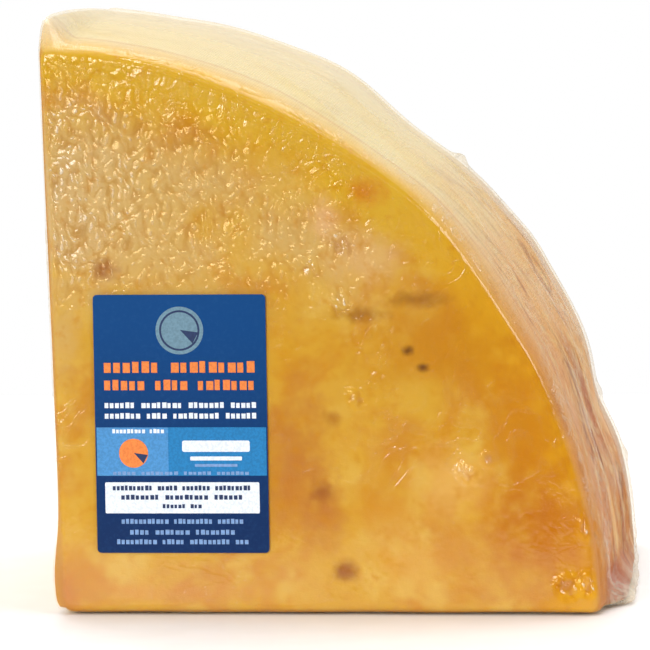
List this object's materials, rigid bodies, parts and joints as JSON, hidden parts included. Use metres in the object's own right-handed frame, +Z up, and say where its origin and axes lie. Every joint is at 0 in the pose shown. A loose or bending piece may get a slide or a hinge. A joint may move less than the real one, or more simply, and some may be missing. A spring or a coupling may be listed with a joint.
{
  "type": "vacuum-packed quarter wheel of clothbound cheddar",
  "caption": "Quarter of a clothbound cheddar wheel drawn tight into a clear vacuum bag, standing on a cut face, with a small printed label low on the end face.",
  "frame": {"origin": "middle of the base of the whole part's bounding box, on the surface that it stands on", "axes": "+Z up; the wheel's axis runs along Y at the lower left, -Y is the end face with the label, +X is the foot of the curved rind"},
  "size_m": [0.1754, 0.1512, 0.1795],
  "materials": {
    "cheese_in_film": "clear glossy vacuum film drawn tight over amber-yellow cheddar and its pale cloth rind",
    "label_print": "coated paper label printed with fields of blue, turquoise, orange and white"
  },
  "bodies": {
    "root": {"sealed_pack": "cheese_in_film", "label": "label_print"}
  },
  "joints": []
}
